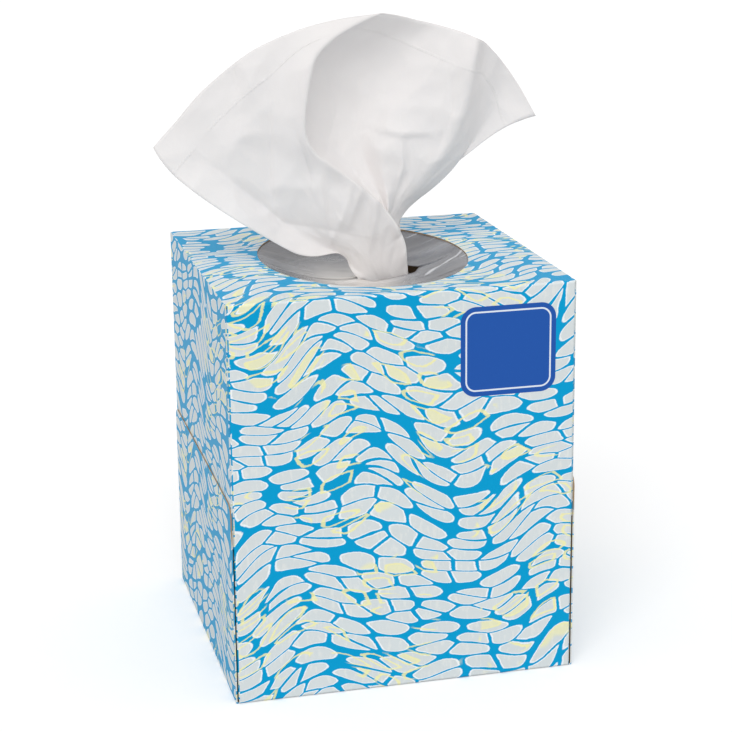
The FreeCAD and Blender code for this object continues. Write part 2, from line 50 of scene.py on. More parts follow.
# Carton: one die-cut blank of white-lined boxboard, printed, scored and folded into a sleeve. Its
# ends are closed by glued flaps, and its cut edges and inside show the bare brown board.
class Field:
    """A value, vector or colour over a surface: a socket of a material's nodes, with arithmetic."""

    def __init__(self, tree, socket=None):
        self.tree = tree
        self.socket = socket

    def place(self, output="Object"):
        """Where on the object a spot lies, or how its face is turned."""
        return self.node("ShaderNodeTexCoord", {}, {}, output)

    def node(self, kind, settings, inputs, output=0):
        """A node of any kind: its settings first, then the values or links of its sockets."""
        made = self.tree.nodes.new(kind)
        for name, setting in settings.items():
            setattr(made, name, setting)
        for key, given in inputs.items():
            if isinstance(given, Field):
                self.tree.links.new(given.socket, made.inputs[key])
            else:
                made.inputs[key].default_value = given
        return Field(self.tree, made.outputs[output])

    def math(self, operation, *values):
        return self.node("ShaderNodeMath", {"operation": operation}, dict(enumerate(values)))

    def __add__(self, other):
        return self.math("ADD", self, other)

    def __sub__(self, other):
        return self.math("SUBTRACT", self, other)

    def __rsub__(self, other):
        return self.math("SUBTRACT", other, self)

    def __mul__(self, other):
        return self.math("MULTIPLY", self, other)

    def __truediv__(self, other):
        return self.math("DIVIDE", self, other)

    def __gt__(self, other):
        return self.math("GREATER_THAN", self, other)

    __radd__ = __add__
    __rmul__ = __mul__

    def size(self):
        return self.math("ABSOLUTE", self)

    def sine(self):
        return self.math("SINE", self)

    def larger(self, other):
        return self.math("MAXIMUM", self, other)

    def rise(self, low, high):
        """0 below low, 1 above high, smooth between them."""
        settings = {"interpolation_type": "SMOOTHSTEP"}
        return self.node("ShaderNodeMapRange", settings, {"Value": self, "From Min": low, "From Max": high})

    def parts(self):
        """The three numbers of a vector."""
        return [self.node("ShaderNodeSeparateXYZ", {}, {0: self}, axis) for axis in range(3)]

    def point(self, across, up, depth=0.0):
        return self.node("ShaderNodeCombineXYZ", {}, {0: across, 1: up, 2: depth})

    def tint(self, colour, under, mask):
        """One colour laid over another where a mask is 1."""
        settings = {"data_type": "RGBA"}
        return self.node("ShaderNodeMix", settings, {"Factor": mask, 6: under, 7: colour}, 2)

    def grain(self, at, scale, detail=2.0, spread=0.5):
        """Soft mottling between 0 and 1."""
        sockets = {"Vector": at, "Scale": scale, "Detail": detail, "Roughness": spread}
        return self.node("ShaderNodeTexNoise", {"noise_dimensions": "3D"}, sockets)

    def bump(self, height, distance):
        """The surface's normal, dented by a height."""
        return self.node("ShaderNodeBump", {}, {"Height": height, "Distance": distance, "Strength": 1.0})

    def distance(self, across, up):
        """Length of the way across and up."""
        return self.math("SQRT", across * across + up * up)


def colour(red, green, blue):
    """A colour written as it looks, from 0 to 255, in the renderer's linear values."""
    linear = []
    for channel in (red, green, blue):
        share = channel / 255
        linear.append(share / 12.92 if share <= 0.04045 else ((share + 0.055) / 1.055) ** 2.4)
    return (*linear, 1.0)


def finish(name, varied, constants):
    """A material: what varies over the surface is a field, and the rest is set on its shader."""
    material = bpy.data.materials.new(name)
    material.use_nodes = True
    shader = material.node_tree.nodes["Principled BSDF"]
    for socket, setting in constants.items():
        shader.inputs[socket].default_value = setting
    for socket, field in varied(Field(material.node_tree)).items():
        material.node_tree.links.new(field.socket, shader.inputs[socket])
    return material


BOX_WIDTH, BOX_DEPTH, BOX_HEIGHT = [high - low for low, high in zip(*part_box("carton"))]
BOARD = 0.45 * MM
END_LAYERS = 4 * BOARD
SKIN = 0.3 * MM
SQUARE_ON = 0.6
# the outer flap's height, how far down its bare cut edge shows, and how far its print is out of step
LOWER_FLAP, BARE_EDGE, FLAP_PRINT_STEP = 66 * MM, 16 * MM, 31 * MM
KRAFT, KRAFT_DARK = colour(168, 143, 114), colour(150, 128, 102)
PRINT_BLUE = colour(0, 156, 208)
PRINT_PALE = colour(212, 219, 220)
PRINT_WORN = colour(226, 229, 226)
PRINT_RIM = colour(240, 245, 246)
PRINT_YELLOW = colour(245, 240, 170)
LABEL_BLUE = colour(36, 86, 168)
LABEL_LINE = colour(226, 234, 244)
PEBBLE_LONG, PEBBLE_WIDE = 12.0 * MM, 4.5 * MM
LONG_WAVE, SHORT_WAVE, DRIFT = 5.6 * MM, 2.7 * MM, 16 * MM
# the blue ground between the pebbles on the front and back, and what the ends and top have more
GROUND_FRONT, GROUND_MORE = 0.036, 0.04
LABEL_X, LABEL_Z = 33.2 * MM, 109.5 * MM
LABEL_HALF_WIDE, LABEL_HALF_HIGH, LABEL_CORNER = 15.6 * MM, 14.5 * MM, 5 * MM
KEYLINE_IN, KEYLINE_HALF = 1.9 * MM, 0.32 * MM
BOARD_RELIEF = 0.06 * MM


def pebbles(field, beds):
    """Rounded pebbles that lie side by side: how far in from the rim, and each one's own number."""
    sockets = {"Vector": beds, "Scale": 1.0, "Randomness": 0.85}
    flat = {"voronoi_dimensions": "2D"}
    border = field.node("ShaderNodeTexVoronoi", {**flat, "feature": "DISTANCE_TO_EDGE"}, sockets)
    middle = field.node("ShaderNodeTexVoronoi", flat, sockets)
    own = field.node("ShaderNodeTexVoronoi", flat, sockets, 1).parts()[0]
    return field.math("SMOOTH_MIN", border, (0.66 - middle) * 0.8, 0.14), own


def printed_board(field):
    spots = field.place()
    x, y, z = spots.parts()
    facing_x, facing_y, facing_z = field.place("Normal").parts()

    # the printed skin: outer faces and folds, but no cut edge and no inside face
    on_top = (facing_z > SQUARE_ON) * (z > BOX_HEIGHT - SKIN)
    on_base = (0 - facing_z > SQUARE_ON) * (SKIN - z > 0)
    on_side = (facing_y.size() > SQUARE_ON) * (y.size() > BOX_DEPTH / 2 - SKIN) * (facing_y * y > 0)
    near_end = x.size() > BOX_WIDTH / 2 - END_LAYERS
    on_end = (facing_x.size() > SQUARE_ON) * near_end * (facing_x * x > 0)
    on_skin = on_top.larger(on_base).larger(on_side.larger(on_end))

    # upright folds, where the flaps' cuts lie tight: their cut edges take the print's colours, partly as a
    # painted highlight along the fold, but for the lower flap's upper end
    outward = facing_x * field.math("SIGN", x) + facing_y * field.math("SIGN", y)
    in_corner = near_end * (y.size() > BOX_DEPTH / 2 - END_LAYERS)
    bare_cut = (z - (LOWER_FLAP - BARE_EDGE)).rise(0.0, BARE_EDGE / 2) * (LOWER_FLAP - z > 0)
    bare_cut = bare_cut * (x.size() > BOX_WIDTH / 2 - BOARD)
    on_skin = on_skin.larger(0.85 * in_corner * (outward > 0.5) * (1 - bare_cut))

    # the blank laid flat: the print runs up the front, over the top, and round to the ends
    at_back = (y > 0) * on_side
    along = x + on_end * (field.math("SIGN", x) * (BOX_WIDTH / 2 + BOX_DEPTH / 2) + y - x)
    up = z + on_top * (y + BOX_DEPTH / 2) + at_back * (2 * BOX_HEIGHT + BOX_DEPTH - 2 * z)
    outer_flap = (x.size() > BOX_WIDTH / 2 - BOARD / 2) * on_end
    up = up + outer_flap * (LOWER_FLAP - z > 0) * FLAP_PRINT_STEP

    # pebbles in rows that rise and fall in two slow waves
    long_wave = (along * 71 + 0.7 * (up * 47).sine()).sine() * LONG_WAVE
    short_wave = (along * 139 + up * 52 + 1.9).sine() * SHORT_WAVE
    drift = field.grain(field.point(along, up), 19.0, 1.0) * DRIFT
    row = up + long_wave + short_wave + drift
    bed_x, bed_y = (along + drift) / PEBBLE_LONG, row / PEBBLE_WIDE
    depth, own = pebbles(field, field.point(bed_x, bed_y))
    fray = field.grain(spots, 700.0, 3.0, 0.7) - 0.5
    spread = field.grain(field.point(along, up), 52.0, 2.0).rise(0.45, 0.7)
    ground = GROUND_FRONT + GROUND_MORE * on_end.larger(on_top)
    inside = depth - ground - 0.07 * spread + 0.07 * fray
    pebble = inside.rise(0.0, 0.022)
    core = (inside + 0.03 * fray).rise(0.04, 0.07)
    worn = field.grain(field.point(along * 3, up), 240.0, 3.0, 0.6).rise(0.5, 0.68)

    # a second printing in pale yellow, in patches and out of step with the pebbles
    depth_2, own_2 = pebbles(field, field.point(bed_x * 0.9 + 0.43, bed_y * 0.9 + 0.37))
    patch = field.grain(field.point(along, up, 0.2), 34.0, 2.0).rise(0.5, 0.53)
    frayed = depth_2 + 0.12 * fray
    touch = frayed.rise(0.09, 0.11) * (1 - frayed.rise(0.17, 0.19))
    whole = (own_2 > 0.8) * (depth_2 > 0.1) * core * 0.7
    yellow = (patch * (own_2 > 0.35) * touch).larger(whole * patch)

    print_colour = field.tint(PRINT_RIM, PRINT_BLUE, pebble)
    pebble_colour = field.tint(PRINT_WORN, PRINT_PALE, worn * 0.7)
    print_colour = field.tint(pebble_colour, print_colour, core * (0.88 + 0.12 * own))
    print_colour = field.tint(PRINT_YELLOW, print_colour, yellow * 0.8)

    # a plain label with a keyline on the front face
    out_x = ((x - LABEL_X).size() - (LABEL_HALF_WIDE - LABEL_CORNER)).larger(0.0)
    out_z = ((z - LABEL_Z).size() - (LABEL_HALF_HIGH - LABEL_CORNER)).larger(0.0)
    reach = field.distance(out_x, out_z) - LABEL_CORNER
    on_front = (0 - facing_y > SQUARE_ON) * (0 - y > BOX_DEPTH / 2 - SKIN)
    label = (0 - reach).rise(0.0, 0.15 * MM) * on_front
    keyline = (KEYLINE_HALF - (reach + KEYLINE_IN).size()).rise(0.0, 0.12 * MM) * on_front
    print_colour = field.tint(LABEL_BLUE, print_colour, label)
    print_colour = field.tint(LABEL_LINE, print_colour, keyline)

    fibre = field.grain(spots, 1400.0, 4.0, 0.7)
    board = field.tint(KRAFT_DARK, KRAFT, fibre)
    relief = field.grain(spots, 420.0, 3.0) + 0.4 * (1 - on_skin) * fibre
    return {
        "Base Color": field.tint(print_colour, board, on_skin),
        "Roughness": 0.86 - 0.38 * on_skin + 0.08 * fray,
        "Normal": field.bump(relief, BOARD_RELIEF),
    }


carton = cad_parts["carton"]
carton.material_slots[0].material = finish("printed board", printed_board, {"Specular IOR Level": 0.1})


# Film window: clear limp film, glued in a band under the top panel and slit from left to right. It
# hangs slack in the mouth, and the sheet drawn through it pushes its lips up and wrinkles it.
def mesh_object(name, points, faces, material):
    """A smooth-shaded mesh in the object's frame."""
    mesh = bpy.data.meshes.new(name)
    mesh.from_pydata([tuple(point) for point in points], [], faces)
    mesh.materials.append(material)
    mesh.shade_smooth()
    made = bpy.data.objects.new(name, mesh)
    bpy.context.scene.collection.objects.link(made)
    return made


def grid_faces(rows, columns, closed=False):
    """Quads of a grid of points that is stored row by row."""
    faces = []
    for i in range(rows - 1):
        for j in range(columns if closed else columns - 1):
            k = (j + 1) % columns
            faces.append((i * columns + j, i * columns + k, (i + 1) * columns + k, (i + 1) * columns + j))
    return faces


def settle(piece, *modifiers):
    """Applies modifiers, each a type and its settings, to the mesh itself."""
    for kind, settings in modifiers:
        modifier = piece.modifiers.new(kind.title(), kind)
        for setting, given in settings.items():
            setattr(modifier, setting, given)
    shape = bpy.data.meshes.new_from_object(piece.evaluated_get(bpy.context.evaluated_depsgraph_get()))
    piece.modifiers.clear()
    piece.data = shape


FILM_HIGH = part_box("film_window")[1]
MOUTH_ACROSS, MOUTH_ALONG = 34 * MM, 46 * MM
FILM_SAG = 8 * MM
FILM_THICK = 0.1 * MM
SLIT_ACROSS, SLIT_OPEN = 29 * MM, 6.9 * MM
SLIT_TOP = FILM_HIGH.z - FILM_SAG
NECK_X = 6.5 * MM
BUNDLE_X, BUNDLE_HALF = 9 * MM, 7.5 * MM
CLOSING = 2 * MM
CLOSED_SHARE = 0.02
PUSH_ACROSS, PUSH_ALONG, PUSH_UP = 12 * MM, 14 * MM, 1.2 * MM
FOLDS_ROUND = 11
SLACK_ACROSS, SLACK_ALONG = 22 * MM, 5.5 * MM


def film_point(turn, out):
    """A point of the slack film: a turn round the slit, and a share of the way out to the rim."""
    rim = Vector((MOUTH_ACROSS * math.cos(turn), MOUTH_ALONG * math.sin(turn)))
    lip = Vector((SLIT_ACROSS * math.cos(turn), SLIT_OPEN * math.sin(turn) * abs(math.sin(turn)) ** 0.35))
    beside_sheet = max(abs(lip.x - BUNDLE_X) - BUNDLE_HALF, 0) / CLOSING
    lip.y *= CLOSED_SHARE + (1 - CLOSED_SHARE) * math.exp(-beside_sheet ** 2)
    flat = lip.lerp(rim, out)
    sag = FILM_SAG * ((flat.x / MOUTH_ACROSS) ** 2 + (flat.y / MOUTH_ALONG) ** 2)
    from_neck = math.hypot((flat.x - NECK_X) / PUSH_ACROSS, flat.y / PUSH_ALONG)
    pushed = math.exp(-from_neck ** 2)
    wrinkle = math.sin(FOLDS_ROUND * turn + 1.5 * math.sin(3 * turn)) * (0.5 * pushed + 0.08)
    slack = noise.noise(Vector((flat.x / SLACK_ACROSS, flat.y / SLACK_ALONG, 0))) * 0.8
    rise = (1 - out) * out * 4 * (wrinkle + slack) * MM + PUSH_UP * pushed * (1 - out) ** 2
    return Vector((flat.x, flat.y, SLIT_TOP + sag + rise))


FILM_CLEAR, FILM_HAZY = colour(166, 168, 174), colour(190, 192, 198)
# the darkest film grey is painted shadow, for the band along the open back lip right of the sheet
FILM_LIP_SHADOW, FILM_ON_WHITE = colour(104, 106, 114), colour(232, 226, 220)
FILM_GLINT = colour(236, 237, 240)
# the painted lip shadow: where it begins, its middle across, its half width, and how fast it narrows
LIP_SHADOW_FROM, LIP_SHADOW_Y, LIP_SHADOW_HALF, LIP_SHADOW_TAPER = 12 * MM, 6 * MM, 12.18 * MM, 0.42
CLING_X, CLING_Y, CLING_FLAT, CLING_CORE, CLING_REACH = -5 * MM, -8 * MM, 0.6, 3 * MM, 24 * MM
FOLD_FROM, FOLD_X, FOLD_Y, FOLD_SLOPE, FOLD_HALF = 17 * MM, 19 * MM, -11 * MM, 0.66, 1.5 * MM


def clear_film(field):
    spots = field.place()
    x, y, _ = spots.parts()
    haze = field.grain(field.point(x * 0.5, y), 70.0, 2.0).rise(0.3, 0.75)
    wobble = (field.grain(spots, 90.0, 2.0) - 0.5) * (10 * MM)

    # right of the sheet a band of painted shadow darkens the film along its open back lip, in front and left
    # it clings to white sheets
    lip_shadow_half = LIP_SHADOW_HALF - LIP_SHADOW_TAPER * (x - LIP_SHADOW_FROM)
    lip_shadow = (lip_shadow_half - (y + wobble - LIP_SHADOW_Y).size()).rise(0.0, 5 * MM)
    lip_shadow = lip_shadow * (x - LIP_SHADOW_FROM).rise(0.0, 4 * MM)
    from_cling = field.distance(x - CLING_X, CLING_FLAT * (y - CLING_Y)) + 0.7 * wobble
    clinging = 1 - from_cling.rise(CLING_CORE, CLING_REACH)

    # one stretched fold and fine ones that catch the light
    ridge = y + 0.3 * wobble - (FOLD_SLOPE * (x - FOLD_X) + FOLD_Y)
    glint = (FOLD_HALF - ridge.size()).rise(0.0, 1.2 * MM) * (x - FOLD_FROM).rise(0.0, 3 * MM)
    streak = field.grain(field.point(x * 0.1, y, 0.3), 330.0, 1.0, 0.5).rise(0.62, 0.74)
    glint = glint.larger(streak * (x - LIP_SHADOW_FROM).rise(0.0, 10 * MM) * (1 - lip_shadow))

    film_grey = field.tint(FILM_HAZY, FILM_CLEAR, haze)
    # painted shadow along the open back lip
    film_grey = field.tint(FILM_LIP_SHADOW, film_grey, lip_shadow * 0.8)
    film_grey = field.tint(FILM_ON_WHITE, film_grey, clinging * 0.9)
    return {
        "Base Color": field.tint(FILM_GLINT, film_grey, glint * 0.75),
        "Alpha": 0.36 + 0.1 * haze + 0.3 * lip_shadow.larger(glint) + 0.5 * clinging,
        "Roughness": 0.16 + 0.16 * haze,
    }


FILM_TURNS, FILM_STEPS = 128, 22
film_points = []
for step in range(FILM_STEPS):
    for turn in range(FILM_TURNS):
        film_points.append(film_point(2 * math.pi * turn / FILM_TURNS, step / (FILM_STEPS - 1)))
band = FILM_HIGH.z - FILM_THICK / 2
for turn in range(FILM_TURNS):
    angle = 2 * math.pi * turn / FILM_TURNS
    reach = min(FILM_HIGH.x / max(abs(math.cos(angle)), 1e-6), FILM_HIGH.y / max(abs(math.sin(angle)), 1e-6))
    film_points.append(Vector((reach * math.cos(angle), reach * math.sin(angle), band)))
film = mesh_object("slit_film", film_points, grid_faces(FILM_STEPS + 1, FILM_TURNS, closed=True),
                   finish("clear film", clear_film, {"IOR": 1.5}))
settle(film, ("SOLIDIFY", {"thickness": FILM_THICK, "offset": 0}))
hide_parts("film_window")
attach(film, "root")


# Clip of sheets: soft white tissues, interfolded and bent into an arch, so that the middle of the
# pile stands under the slit. Its cut sides show the edges of the sheets as fine lines.
LAYER_THICK, LAYER_WANDER = 0.9 * MM, 1.2 * MM
BEND_RADIUS = 57.5 * MM
LAYER_WHITE, LAYER_GAP = colour(236, 235, 232), colour(206, 204, 202)
LAYER_RELIEF = 0.2 * MM


def layered_tissue(field):
    spots = field.place()
    x, _, z = spots.parts()
    above_bend = (z - (SLIT_TOP - BEND_RADIUS)).larger(0.0)
    layer = field.distance(x, above_bend) + field.grain(spots, 60.0) * LAYER_WANDER
    lines = field.math("FRACT", layer / LAYER_THICK)
    edges = (lines - 0.5).size().rise(0.3, 0.5)
    cloth = field.grain(spots, 1500.0, 3.0)
    return {
        "Base Color": field.tint(LAYER_GAP, LAYER_WHITE, edges),
        "Normal": field.bump(cloth - edges, LAYER_RELIEF),
    }


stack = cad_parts["tissue_stack"]
stack.material_slots[0].material = finish("layered tissue", layered_tissue, {"Roughness": 0.92})


# Drawn sheet: one soft two-ply tissue. Its lower half still lies folded on the clip, it is gathered
# in the slit, and above it opens like a fan: a broad front panel that comes down from the left, a
# hollow middle panel, and a right side that turns back in a pleat. It is creased from the pile.
# Its table and lengths are in millimetres, and its mesh is brought to metres at the end.
SHEET_REACH = 88.5
FAN_MIDDLE = Vector((6.5, 0, 120.0))
GATHER_X, GATHER_ACROSS, GATHER_DEPTH = 9.0, 14.0, 7.0
SIGHT = Vector((0.25, 1, -0.29))
LEVELS = [0.12, 0.19, 0.3, 0.45, 0.6, 0.78, 0.93, 1.0]
RIBS = [
    # reach at the free edge and place in the slit in hundredths, then direction and depth at each level
    (101, (-50, -14),
     [(163, -3), (135, -5), (160, -8), (156, -8), (153.8, -7), (151.3, -3), (149, -1), (146.4, 0)]),
    (99.5, (-36, -43),
     [(148, -3), (141, -3), (147, -3), (146.5, -2), (145, -1), (143.5, 0), (141.5, 0), (139.5, 0)]),
    (99.5, (-11, -29),
     [(125, -5), (130, -6), (137, -7), (136, -6), (134, -5), (133, -3), (130, -2), (129, -2)]),
    (99.5, (21, -50),
     [(90, -6), (103, -7), (118, -8), (124, -8), (126, -8), (121, -8), (117, -7), (116, -6)]),
    (98.5, (50, -21),
     [(30, -6), (58, -8), (88, -9), (108, -10), (118, -12), (109, -14), (103, -12), (90, -9)]),
    (98.9, (39, 7),
     [(45, -1), (70, -1), (95, -2), (114, -1), (121, -1), (113, 0), (106, -1), (88, -5)]),
    (99, (21, -7),
     [(60, 0), (73, 1), (90, 2), (105, 5), (110, 7), (103, 9), (98, 8), (85, -1)]),
    (98.5, (7, 14),
     [(75, 2), (80, 2), (86, 3), (97, 5), (100, 8), (94, 10), (91, 9), (82, 1)]),
    (98, (-11, 0),
     [(88, 1), (86, 0), (83, 0), (90, -1), (90, 3), (85, 7), (83, 6), (78, 1)]),
    (97, (-25, 21),
     [(98, 2), (90, 3), (80, 3), (79, 0), (77, -1), (75, 0), (74, -1), (72, -2)]),
    (96, (-7, 36),
     [(90, 3), (83, 4), (76, 5), (64.5, -2), (62, -7), (63.4, -9), (66, -9), (67, -7)]),
    (97, (14, 31),
     [(80, 3), (76, 6), (71, 9), (57, 8), (55, 7), (60, 5), (64, 2), (65.5, 0)]),
    (93.5, (32, 43),
     [(65, 4), (69, 7), (74, 10), (60, 10), (55.5, 10), (55.5, 10), (57, 8), (58, 7)]),
    (86, (46, 47),
     [(50, 4), (64, 6), (78, 9), (62, 10), (55, 9), (51, 7), (47, 6), (44.9, 6)]),
]
SHEET_COLUMNS, SHEET_ROWS = 271, 112
FOOT_LIFT = 1.3
CLIP_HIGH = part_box("tissue_stack")[1]
ARCH_RADIUS = CLIP_HIGH.x / MM
ARCH_MIDDLE = CLIP_HIGH.z / MM - ARCH_RADIUS


def halfway(first, second):
    """A rib between two others."""
    spot = tuple((a + b) / 2 for a, b in zip(first[1], second[1]))
    bearings = [((a + c) / 2, (b + d) / 2) for (a, b), (c, d) in zip(first[2], second[2])]
    return ((first[0] + second[0]) / 2, spot, bearings)


def on_arch(across, lift):
    """A point above the clip's arch, from its distance across the carton."""
    return math.sqrt((ARCH_RADIUS + lift) ** 2 - across ** 2) + ARCH_MIDDLE


def sheet_poles():
    """Poles of the drawn sheet: one line for each rib, from the clip to the free edge."""
    ribs = [RIBS[0]]
    for rib in RIBS[1:]:
        ribs += [halfway(ribs[-1], rib), rib]
    lines = []
    for reach, (foot_across, foot_depth), bearings in ribs:
        foot = GATHER_X + GATHER_ACROSS * foot_across / 100
        line = [(foot, GATHER_DEPTH * foot_depth / 100, on_arch(foot, FOOT_LIFT))]
        for level, (direction, depth) in zip(LEVELS, bearings):
            length = SHEET_REACH * level * (1 + (reach / 100 - 1) * level ** 2)
            angle = math.radians(direction)
            upright = Vector((length * math.cos(angle), 0, length * math.sin(angle)))
            line.append(FAN_MIDDLE + upright + SIGHT * (SHEET_REACH * depth / 100))
        lines.append(line)
    return np.array(lines)


def spline_weights(poles, samples):
    """How much each pole of a smooth curve of the second degree counts at evenly spaced places."""
    knots = np.concatenate([[0, 0], np.arange(poles - 1), [poles - 2] * 2]).astype(float)
    places = np.linspace(0, poles - 2, samples)
    places[-1] -= 1e-9
    weights = np.array([(knots[i] <= places) & (places < knots[i + 1]) for i in range(len(knots) - 1)], float)
    for degree in (1, 2):
        raised = []
        for i in range(len(weights) - 1):
            left = max(knots[i + degree] - knots[i], 1e-9)
            right = max(knots[i + degree + 1] - knots[i + 1], 1e-9)
            rising = (places - knots[i]) / left * weights[i]
            falling = (knots[i + degree + 1] - places) / right * weights[i + 1]
            raised.append(rising + falling)
        weights = np.array(raised)
    return weights.T


# creases from the pile and the pull, as seen from the front: the spots that each runs through, its
# height towards the front, and how far it reaches to its left and its right on the way
CREASES = [
    ([(-29, 178), (-30, 155), (-28.4, 147)], -1.9, 1.3, 6),
    ([(-32, 173), (-40, 170), (-46, 160)], 0.9, 3, 5),
    ([(-48, 162), (-33, 149), (-26, 142.5), (-5, 137)], -1.7, 1.6, 5),
    ([(-19, 166), (-16.5, 157), (-16, 147)], -1.5, 1.0, 4.5),
    ([(-13, 155), (-12, 144), (-10, 134)], 1.2, 1.1, 2.0),
    ([(-1, 158), (-5.5, 143.5), (-10, 134)], 1.2, 1.2, 2.2),
    ([(2.5, 154), (-2, 145), (-5, 138)], 1.0, 1.0, 1.8),
    ([(6.5, 150), (4.5, 139.5), (2, 128)], 1.1, 1.0, 1.8),
    ([(8, 131), (15.5, 137)], -1.0, 1.0, 1.6),
    ([(5, 172), (13.5, 169), (24, 169)], 1.7, 6, 0.9),
    ([(14, 169), (14.5, 159), (12, 151)], 1.5, 1.1, 5),
    ([(-39, 198), (-41, 184)], -1.0, 1.5, 4),
    ([(30, 190), (31, 175), (24, 158)], -1.1, 3.5, 3),
    ([(-14, 196), (-8, 180), (-12, 165)], -0.8, 5, 2),
    ([(-62, 176), (-52, 182), (-50, 192)], 0.7, 3, 4),
]


def crease(seen, spots, height, left_reach, right_reach):
    """Height of one crease at places of the fan that are given as seen from the front."""
    nearest = np.full(seen.shape[:2], 1e9)
    reach = np.ones(seen.shape[:2])
    passed = np.zeros(seen.shape[:2])
    for part, (start, end) in enumerate(zip(spots, spots[1:])):
        start, way = np.array(start, float), np.array(end, float) - start
        off = seen - start
        share = np.clip((off @ way) / (way @ way), 0, 1)
        distance = np.linalg.norm(off - share[..., None] * way, axis=2)
        on_left = way[0] * off[..., 1] - way[1] * off[..., 0] > 0
        closer = distance < nearest
        reach = np.where(closer, np.where(on_left, left_reach, right_reach), reach)
        passed = np.where(closer, (part + share) / (len(spots) - 1), passed)
        nearest = np.minimum(nearest, distance)
    return height * np.exp(-nearest / reach) * (0.3 + 2.8 * passed * (1 - passed))


# crumples: broad dents and finer ones, each by height, size and own number, and pleats in the neck
DENTS = [(1.7, 27, 3.1), (0.8, 11, 8.7), (0.25, 5, 1.9)]
PLEATS, PLEAT_SIZE, PLEAT_NUMBER = 1.5, 6, 5.3
OPENED_AT = 34
NECK_LOW, NECK_RISE, NECK_FADE = 7, 9, 24


def ridges(point, size, seed):
    """Soft dents with creased borders between them, from about -1 to 1."""
    return 0.5 - 2.2 * abs(noise.noise(point / size + Vector((seed, seed, 0))))


def crumples(point):
    """Height of the small folds at a place of the fan."""
    from_middle = point - FAN_MIDDLE
    out = math.hypot(from_middle.x, from_middle.z)
    bearing = math.atan2(from_middle.z, from_middle.x)
    spot = Vector((bearing * 36, point.y, out * 0.7))
    opened = min(1.0, out / OPENED_AT)
    neck = min(1.0, max(out - NECK_LOW, 0) / NECK_RISE) * math.exp(-out / NECK_FADE)
    dents = sum(height * ridges(spot, size, seed) for height, size, seed in DENTS)
    pleat_spot = Vector((bearing * 22, point.y, out * 0.16))
    return opened * dents + PLEATS * neck * ridges(pleat_spot, PLEAT_SIZE, PLEAT_NUMBER)


# the half that lies on the clip: it spreads to the back, folds under itself, comes forward, and folds
# up over its end
TAIL_HALF_TURN = math.radians(77)
TAIL_START, TAIL_BACK, TAIL_FRONT, TAIL_END = 2.0, 50.0, -49.0, -15.0
UPPER_LIFT, LOWER_LIFT = 1.0, 0.4
SPREADING = 26.0
TAIL_STEPS = 26


def tail_rows(foot):
    """Rows of the hidden half, from its front edge back round the fold and up to the foot."""
    count = len(foot)
    rows = []
    middle_lift, half_lift = (UPPER_LIFT + LOWER_LIFT) / 2, (UPPER_LIFT - LOWER_LIFT) / 2
    quarters = [angle * math.pi / 4 for angle in (1, 2, 3)]
    path = [(y, UPPER_LIFT) for y in np.linspace(TAIL_START, TAIL_BACK, TAIL_STEPS // 3)]
    path += [(TAIL_BACK + half_lift * math.sin(a), middle_lift + half_lift * math.cos(a)) for a in quarters]
    path += [(y, LOWER_LIFT) for y in np.linspace(TAIL_BACK, TAIL_FRONT, TAIL_STEPS)]
    path += [(TAIL_FRONT - half_lift * math.sin(a), middle_lift - half_lift * math.cos(a)) for a in quarters]
    path += [(y, UPPER_LIFT) for y in np.linspace(TAIL_FRONT, TAIL_END, TAIL_STEPS // 3)]
    for y, lift in path:
        spread = min(1.0, y / SPREADING) if y > 0 and lift == UPPER_LIFT else 1.0
        spread = spread * spread * (3 - 2 * spread)
        row = []
        for column in range(count):
            turn = TAIL_HALF_TURN * (2 * column / (count - 1) - 1)
            radius = ARCH_RADIUS + lift
            spot = np.array((radius * math.sin(turn), y, ARCH_MIDDLE + radius * math.cos(turn)))
            across = (1 - spread) * foot[column][0] + spread * spot[0]
            along = (1 - spread) * (foot[column][1] * (1 - y / TAIL_BACK) + y) + spread * y
            row.append((across, along, on_arch(across, lift)))
        rows.append(row)
    return np.array(rows[::-1])


def lay_flat(piece, flat):
    """Gives each corner of a mesh its place on the sheet when that lies flat."""
    layer = piece.data.uv_layers.new(name="flat")
    for loop in piece.data.loops:
        layer.data[loop.index].uv = flat[loop.vertex_index]


TISSUE_WHITE, TISSUE_CLOUD = colour(240, 236, 234), colour(232, 228, 227)
SOFT_SHADER = {"Roughness": 0.95, "Sheen Weight": 0.15, "Subsurface Weight": 0.3,
               "Subsurface Radius": (1.0, 1.0, 1.0), "Subsurface Scale": 3 * MM}
CRIMP_IN, CRIMP_HALF, CRIMP_STEP = 10.5 * MM, 0.55 * MM, 1.5 * MM
TISSUE_RELIEF = 0.12 * MM


def soft_tissue(field):
    spots = field.place()
    along_edge, from_edge, _ = field.node("ShaderNodeUVMap", {"uv_map": "flat"}, {}).parts()
    crimp = (CRIMP_HALF - (from_edge - CRIMP_IN).size()).rise(0.0, 0.3 * MM)
    crimp = crimp * (0.7 + 0.3 * (along_edge * (2 * math.pi / CRIMP_STEP)).sine())
    crimp = crimp * field.grain(spots, 45.0, 1.0).rise(0.32, 0.5)
    cloud = field.grain(spots, 70.0, 2.0)
    fibre = field.grain(spots, 900.0, 4.0, 0.65)
    return {
        "Base Color": field.tint(TISSUE_CLOUD, TISSUE_WHITE, cloud),
        "Normal": field.bump(0.4 * fibre + crimp, TISSUE_RELIEF),
    }


